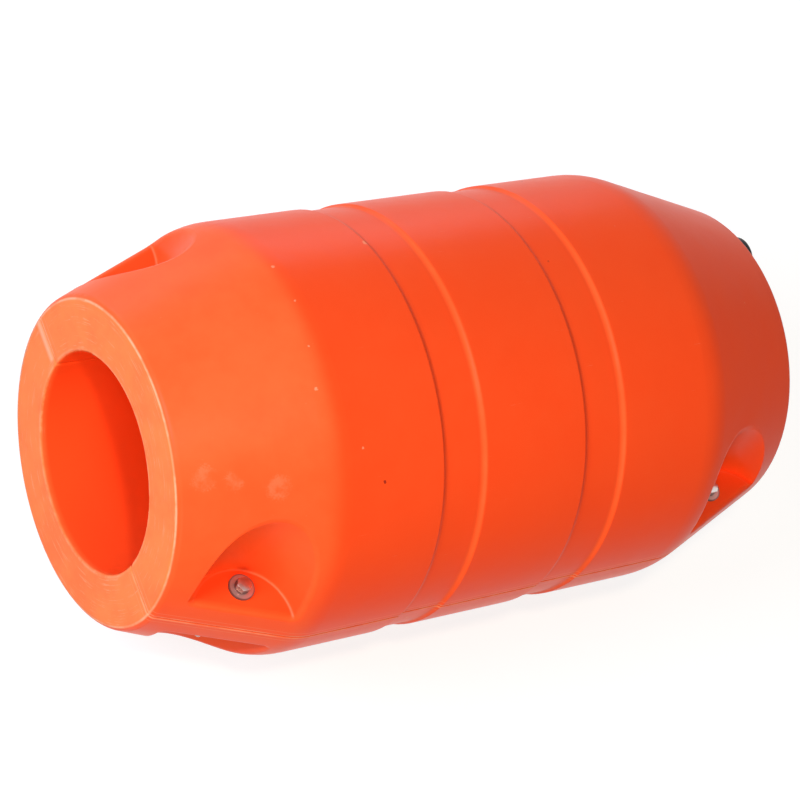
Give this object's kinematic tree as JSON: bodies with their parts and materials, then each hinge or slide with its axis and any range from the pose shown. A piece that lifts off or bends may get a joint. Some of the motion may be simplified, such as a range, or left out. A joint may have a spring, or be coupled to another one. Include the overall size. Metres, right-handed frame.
{
  "type": "pipe float",
  "caption": "Split cylindrical float with coned ends and a through bore; two hollow half shells bolt together round a floating pipe or hose.",
  "frame": {"origin": "on the bore axis, half way along the float", "axes": "+X along the bore from the front end to the rear end with the filling plugs, +Z square to the parting plane towards the half with the bolt heads"},
  "size_m": [1.048, 0.6, 0.5998],
  "materials": {
    "orange_polyethylene": "rotomoulded orange polyethylene, satin, lightly scuffed",
    "black_plastic": "black moulded plug",
    "steel": "stainless hexagon bolt and nut, slightly dull",
    "washer_steel": "dull stainless washer"
  },
  "bodies": {
    "root": {"upper_half": "orange_polyethylene", "lower_half": "orange_polyethylene", "upper_plug": "black_plastic", "lower_plug": "black_plastic", "bolt_front_left": "steel", "bolt_front_right": "steel", "bolt_rear_left": "steel", "bolt_rear_right": "steel", "head_washer_front_left": "washer_steel", "head_washer_front_right": "washer_steel", "head_washer_rear_left": "washer_steel", "head_washer_rear_right": "washer_steel", "spring_washer_front_left": "washer_steel", "spring_washer_front_right": "washer_steel", "spring_washer_rear_left": "washer_steel", "spring_washer_rear_right": "washer_steel", "nut_washer_front_left": "washer_steel", "nut_washer_front_right": "washer_steel", "nut_washer_rear_left": "washer_steel", "nut_washer_rear_right": "washer_steel", "nut_front_left": "steel", "nut_front_right": "steel", "nut_rear_left": "steel", "nut_rear_right": "steel"}
  },
  "joints": []
}
